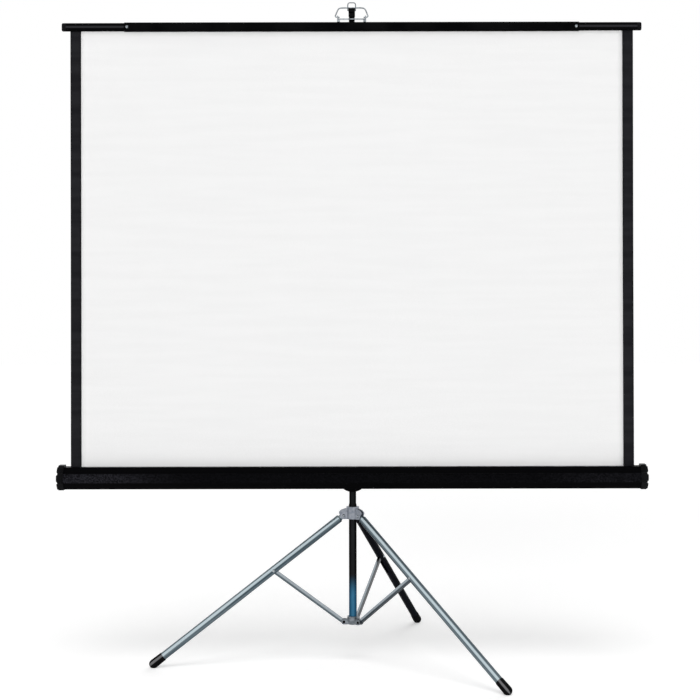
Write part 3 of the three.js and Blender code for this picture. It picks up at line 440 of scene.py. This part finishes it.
def make_post_enamel():
    material, tree, shader = new_finish("post_enamel", Specular_IOR_Level=0.03)
    marks = use_group(tree, SURFACE_GRAIN, Grain_Size=0.0012, Patch_Size=0.12)
    places = place_node(tree, "ShaderNodeSeparateXYZ", {0: cad_point(tree)}).outputs
    across = calculate(tree, "ABSOLUTE", places["X"])
    forward = calculate(tree, "ABSOLUTE", calculate(tree, "SUBTRACT", places["Y"], POST_Y))
    from_middle = calculate(tree, "MINIMUM", across, forward)
    # Painted sheen: paler along the middle of each face of the post
    painted_sheen = between(tree, from_middle, *POST_SHEEN_SPAN)
    sheen_patches = between(tree, marks["Patches"], 0.0, 1.0, *POST_SHEEN_PATCHES)
    sheen_mask = calculate(tree, "MULTIPLY", painted_sheen, sheen_patches)
    blue = between(tree, places["Z"], *POST_BLUE_SPAN)
    enamel = mix_colours(tree, sheen_mask, BLACK, POST_SHEEN)
    tinted = mix_colours(tree, sheen_mask, POST_BLUE, POST_BLUE_SHEEN)
    tree.links.new(mix_colours(tree, blue, enamel, tinted), shader.inputs["Base Color"])
    tree.links.new(between(tree, marks["Grain"], 0.0, 1.0, *POST_ROUGH), shader.inputs["Roughness"])
    raise_surface(tree, shader, marks["Grain"], POST_GRAIN_DEPTH)
    return material


def paint_node(name, material):
    """A CAD node given a finish in place of its plain one."""
    mesh = nodes[name].data
    mesh.materials.clear()
    mesh.materials.append(material)


FINISH_OF_SLOT = {
    "bright_plate": BRIGHT_PLATE,
    "silver_casting": SILVER_CASTING,
    "grey_steel": GREY_STEEL,
    "nylon": NYLON,
    "hammered_black": make_case_enamel(),
    "black_plastic": BLACK_PLASTIC,
    "black_enamel": BLACK_ENAMEL,
}
for subpart in frame["record"]["subparts"]:
    if subpart["material_slot"] in FINISH_OF_SLOT:
        paint_node(subpart["node"], FINISH_OF_SLOT[subpart["material_slot"]])
POST_ENAMEL = make_post_enamel()
for name in ("lower_post", "upper_post"):
    paint_node(name, POST_ENAMEL)

# Legs, feet, braces and slat ends, each with a painted highlight band along it
FOOT_BALL = Vector((0, 0, 0.012))
LEG_LIT_SIDE = Vector((-0.2, -0.9, 0.4)).normalized()
BRACE_SKY_SIDE = Vector((-0.5, -0.5, 0.7))
SLAT_AXIS, SLAT_LIT_SIDE = Vector((1, 0, 0)), Vector((0, -1, 0))
LEG_SHARES = {"Band_Edge": 0.9, "Far_Edge": 0.25, "Streak": 0.2}
BRACE_SHARES = {"Band_Edge": 0.6, "Far_Edge": 0.0, "Streak": 0.2}
FOOT_SHARES = {"Band_Edge": 0.94, "Far_Edge": 0.0, "Streak": 0.02}
SLAT_SHARES = {"Band_Edge": 0.9, "Far_Edge": 0.0, "Streak": 0.05}
# Chrome tones: painted reflection, dark away from the lit side and bright along it
CHROME_TONES = (linear(66, 80, 88), linear(192, 206, 212))
# Rear leg tones: painted shade in near-black, with a fainter painted highlight line
DARK_LEG_TONES = (linear(8, 9, 14), linear(40, 42, 56))
# Foot tones: near-black rubber with a painted highlight line along it
FOOT_TONES = (linear(5, 5, 6), linear(112, 112, 114))
# Slat end tones: black enamel with a painted highlight line along its front
SLAT_TONES = (BLACK, linear(46, 46, 49))
# Brace tones: a painted highlight, and painted shade that is palest on the front left brace and darkest on the
# rear brace
BRACE_HIGHLIGHT = linear(158, 166, 172)
BRACE_SHADE = {
    "front_right": linear(52, 60, 66),
    "front_left": linear(84, 96, 102),
    "rear": linear(20, 23, 26),
}


def leg_finish(side, run):
    """Chrome on the front legs; the rear leg, the same tube, painted near-black as painted shade. Each carries a
    painted highlight band.
    """
    if side == "rear":
        return painted_highlight_tube(
            "leg_painted_shade_rear",
            run,
            LEG_SHARES,
            DARK_LEG_TONES,
            rough=(0.3, 0.45),
            Specular_IOR_Level=0.01,
        )
    return painted_highlight_tube(
        f"leg_chrome_{side}", run, LEG_SHARES, CHROME_TONES, rough=(0.16, 0.3), Metallic=1.0
    )


for side in LEG_SIDES:
    pivot = Vector(joints[f"leg_fold_{side}"]["pos_m"])
    leg_axis = (feet[f"foot_{side}"] + FOOT_BALL - pivot).normalized()
    leg_run = (pivot, leg_axis, LEG_LIT_SIDE)
    paint_node(f"leg_tube_{side}", leg_finish(side, leg_run))
    foot_finish = painted_highlight_tube(
        f"foot_rubber_{side}",
        leg_run,
        FOOT_SHARES,
        FOOT_TONES,
        rough=(0.7, 0.9),
        Specular_IOR_Level=0.05,
    )
    paint_node(f"leg_foot_{side}", foot_finish)
    knee = Vector(joints[f"brace_turn_{side}"]["pos_m"])
    hub_pivot = Vector((pivot.x, pivot.y, joints["spreader_turn"]["pos_m"][2]))
    brace_axis = (hub_pivot - knee).normalized()
    lit_side = (BRACE_SKY_SIDE - brace_axis * BRACE_SKY_SIDE.dot(brace_axis)).normalized()
    middle = sum(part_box(f"brace_{side}"), Vector()) / 2
    brace_finish = painted_highlight_tube(
        f"brace_chrome_{side}",
        (middle, brace_axis, lit_side),
        BRACE_SHARES,
        (BRACE_SHADE[side], BRACE_HIGHLIGHT),
        rough=(0.2, 0.34),
        Metallic=1.0,
    )
    paint_node(f"brace_{side}", brace_finish)
    paint_node(f"hub_rivet_{side}", BLACK_ENAMEL)

for side in ("left", "right"):
    middle = sum(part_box(f"slat_end_{side}"), Vector()) / 2
    slat_finish = painted_highlight_tube(
        f"slat_enamel_{side}",
        (middle, SLAT_AXIS, SLAT_LIT_SIDE),
        SLAT_SHARES,
        SLAT_TONES,
        rough=ENAMEL_ROUGH,
        Specular_IOR_Level=ENAMEL_SPECULAR,
    )
    paint_node(f"slat_end_{side}", slat_finish)

# Smooth shading of round faces, with sharp edges kept
WELD_DISTANCE = 1e-5
CREASE_ANGLE = math.radians(32)


def make_round_shading():
    tree = bpy.data.node_groups.new("round_shading", "GeometryNodeTree")
    for in_out in ("INPUT", "OUTPUT"):
        tree.interface.new_socket("Geometry", in_out=in_out, socket_type="NodeSocketGeometry")
    given, result = tree.nodes.new("NodeGroupInput"), tree.nodes.new("NodeGroupOutput")
    welded = place_node(
        tree,
        "GeometryNodeMergeByDistance",
        {"Geometry": given.outputs[0], "Distance": WELD_DISTANCE},
    )
    bare = place_node(
        tree,
        "GeometryNodeRemoveAttribute",
        {"Geometry": welded.outputs[0], "Name": "custom_normal"},
    )
    smooth = place_node(
        tree,
        "GeometryNodeSetShadeSmooth",
        {"Geometry": bare.outputs[0], "Shade Smooth": True},
    )
    bend = tree.nodes.new("GeometryNodeInputMeshEdgeAngle")
    corner = place_node(
        tree,
        "FunctionNodeCompare",
        {0: bend.outputs[0], 1: CREASE_ANGLE},
        operation="GREATER_THAN",
    )
    creased = place_node(
        tree,
        "GeometryNodeSetShadeSmooth",
        {"Geometry": smooth.outputs[0], "Selection": corner.outputs[0], "Shade Smooth": False},
        domain="EDGE",
    )
    tree.links.new(creased.outputs[0], result.inputs[0])
    return tree


ROUND_SHADING = make_round_shading()
for name in nodes:
    shading = nodes[name].modifiers.new("round_shading", "NODES")
    shading.node_group = ROUND_SHADING

# Screen cloth, from the roll up into the slat, with a hem round its rod
SHEET_THICKNESS = 0.0007
CLOTH_ROWS = 60
HEM_RADIUS = 0.0034
HEM_TURN, HEM_STEPS = 2 * math.pi * 0.94, 12
RIPPLE_DEPTH, RIPPLE_START = 0.0011, 1.1
RIPPLE_ACROSS, RIPPLE_UP = 5.2, 3.1
EDGE_CURL, EDGE_CURL_POWER = 0.0022, 8
BORDER_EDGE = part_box("fabric_border_right")[1].x
VIEW_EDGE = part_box("screen_fabric")[1].x
SLAT_Z = sum(corner.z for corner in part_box("top_slat")) / 2
CLOTH_Y = sum(corner.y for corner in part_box("top_slat")) / 2
CLOTH_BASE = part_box("screen_fabric")[0].z


def steps_between(first, last, count):
    """Evenly spaced values, both ends included."""
    return [first + (last - first) * i / count for i in range(count + 1)]


def cloth_profile():
    """Points (y, z) from the roll to the end of the hem."""
    straight = [(CLOTH_Y, z) for z in steps_between(CLOTH_BASE, SLAT_Z - HEM_RADIUS, CLOTH_ROWS)]
    hem = [
        (CLOTH_Y + HEM_RADIUS * math.sin(turn), SLAT_Z - HEM_RADIUS * math.cos(turn))
        for turn in steps_between(0.0, HEM_TURN, HEM_STEPS)[1:]
    ]
    return straight + hem


def ripple(x, z):
    """How far the hanging cloth leaves its plane, in metres."""
    rise = min(max((z - CLOTH_BASE) / (SLAT_Z - CLOTH_BASE), 0), 1)
    slack = math.sin(math.pi * rise) ** 2
    wave = math.sin(RIPPLE_ACROSS * x + RIPPLE_START) * math.sin(RIPPLE_UP * z)
    curl = (abs(x) / BORDER_EDGE) ** EDGE_CURL_POWER
    return slack * (RIPPLE_DEPTH * wave + EDGE_CURL * curl)


def lay_sheet(name, xs, profile, material, offset=None):
    """A thin closed sheet over columns x and a profile (y, z), with its map in metres."""
    mesh = bpy.data.meshes.new(name)
    work = bmesh.new()
    lengths = [0.0]
    for (y0, z0), (y1, z1) in zip(profile, profile[1:]):
        lengths.append(lengths[-1] + math.hypot(y1 - y0, z1 - z0))
    rows = [
        [work.verts.new((x, y + (offset(x, z) if offset else 0), z)) for x in xs] for y, z in profile
    ]
    flat_map = work.loops.layers.uv.new(CLOTH_MAP)
    for r in range(len(rows) - 1):
        for c in range(len(xs) - 1):
            spots = ((r, c), (r, c + 1), (r + 1, c + 1), (r + 1, c))
            face = work.faces.new([rows[i][j] for i, j in spots])
            face.smooth = True
            for loop, (i, j) in zip(face.loops, spots):
                loop[flat_map].uv = (xs[j], lengths[i])
    work.normal_update()
    bmesh.ops.solidify(work, geom=work.faces[:], thickness=SHEET_THICKNESS)
    bmesh.ops.recalc_face_normals(work, faces=work.faces[:])
    work.to_mesh(mesh)
    work.free()
    mesh.materials.append(material)
    piece = bpy.data.objects.new(name, mesh)
    scene.collection.objects.link(piece)
    return piece, lengths[-1]


PROFILE = cloth_profile()
VIEW_COLUMNS, BORDER_COLUMNS = 96, 3
CLOTH_STRIPS = (
    (
        "screen_cloth",
        (-VIEW_EDGE, VIEW_EDGE, VIEW_COLUMNS),
        WHITE_CLOTH,
        "white_fabric",
        "screen_fabric",
    ),
    (
        "border_left",
        (-BORDER_EDGE, -VIEW_EDGE, BORDER_COLUMNS),
        BLACK_CLOTH,
        "black_fabric",
        "fabric_border_left",
    ),
    (
        "border_right",
        (VIEW_EDGE, BORDER_EDGE, BORDER_COLUMNS),
        BLACK_CLOTH,
        "black_fabric",
        "fabric_border_right",
    ),
)
for name, columns, material, slot, node in CLOTH_STRIPS:
    strip, length = lay_sheet(name, steps_between(*columns), PROFILE, material, ripple)
    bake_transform(strip)
    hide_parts(node)

# Turns of cloth that stay on the roller
ROLL_TURN, ROLL_STEPS = 2 * math.pi * 1.75, 84
ROLL_COLUMNS = 8


def roll_profile():
    """Points (y, z) of a spiral from the roller tube to the outside of the roll."""
    low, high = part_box("fabric_roll")
    centre = (low + high) / 2
    outer = (high.z - low.z) / 2 - SHEET_THICKNESS
    inner = (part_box("roller_tube")[1].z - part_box("roller_tube")[0].z) / 2 + SHEET_THICKNESS
    angles = steps_between(0.0, ROLL_TURN, ROLL_STEPS)
    radii = steps_between(inner, outer, ROLL_STEPS)
    return [
        (centre.y + radius * math.cos(angle), centre.z + radius * math.sin(angle))
        for angle, radius in zip(angles, radii)
    ]


roll_columns = steps_between(-BORDER_EDGE, BORDER_EDGE, ROLL_COLUMNS)
roll, roll_length = lay_sheet("rolled_cloth", roll_columns, roll_profile(), WHITE_CLOTH)
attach(roll, "roller")
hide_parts("fabric_roll")

# Floor, backdrop and light
FLOOR_HALF = 20.0
FLOOR_COLOUR = (0.8, 0.8, 0.8, 1)
FLOOR_LIFT = 0.375
BACKDROP_COLOUR = (1, 1, 1, 1)
DAYLIGHT = 0.28


def seen_directly(tree):
    """One for camera, glossy and transmission rays."""
    path = tree.nodes.new("ShaderNodeLightPath").outputs
    shiny = calculate(tree, "MAXIMUM", path["Is Glossy Ray"], path["Is Transmission Ray"])
    return calculate(tree, "MAXIMUM", path["Is Camera Ray"], shiny)


def make_floor():
    mesh = bpy.data.meshes.new("floor")
    corners = [(-1, -1), (1, -1), (1, 1), (-1, 1)]
    mesh.from_pydata([(FLOOR_HALF * x, FLOOR_HALF * y, 0) for x, y in corners], [], [(0, 1, 2, 3)])
    floor = bpy.data.objects.new("floor", mesh)
    scene.collection.objects.link(floor)
    material, tree, shader = new_finish("pale_floor", Roughness=0.9, Specular_IOR_Level=0.0)
    shader.inputs["Base Color"].default_value = FLOOR_COLOUR
    lift = calculate(tree, "MULTIPLY", seen_directly(tree), FLOOR_LIFT)
    glow = place_node(tree, "ShaderNodeEmission", {"Strength": lift})
    both = place_node(tree, "ShaderNodeAddShader", {0: shader.outputs[0], 1: glow.outputs[0]})
    output = next(n for n in tree.nodes if n.type == "OUTPUT_MATERIAL")
    tree.links.new(both.outputs[0], output.inputs["Surface"])
    mesh.materials.append(material)


def make_world():
    world = bpy.data.worlds.new("studio")
    world.use_nodes = True
    tree = world.node_tree
    background = next(n for n in tree.nodes if n.type == "BACKGROUND")
    background.inputs["Color"].default_value = BACKDROP_COLOUR
    strength = between(tree, seen_directly(tree), 0.0, 1.0, DAYLIGHT, 1.0)
    tree.links.new(strength, background.inputs["Strength"])
    scene.world = world


def hang_lamp(name, height_angle, side_angle, softness, power):
    """A soft distant lamp, its angles in degrees: above the floor, and round from the front."""
    data = bpy.data.lights.new(name, "SUN")
    data.angle = math.radians(softness)
    data.energy = power
    lamp = bpy.data.objects.new(name, data)
    lamp.rotation_euler = (math.radians(90 - height_angle), 0, math.radians(side_angle))
    lamp.visible_glossy = False
    scene.collection.objects.link(lamp)


make_floor()
make_world()
hang_lamp("overhead_lamp", height_angle=66, side_angle=0, softness=32, power=1.05)
hang_lamp("front_lamp", height_angle=12, side_angle=-12, softness=40, power=1.5)
hang_lamp("back_lamp", height_angle=15, side_angle=160, softness=40, power=1.6)
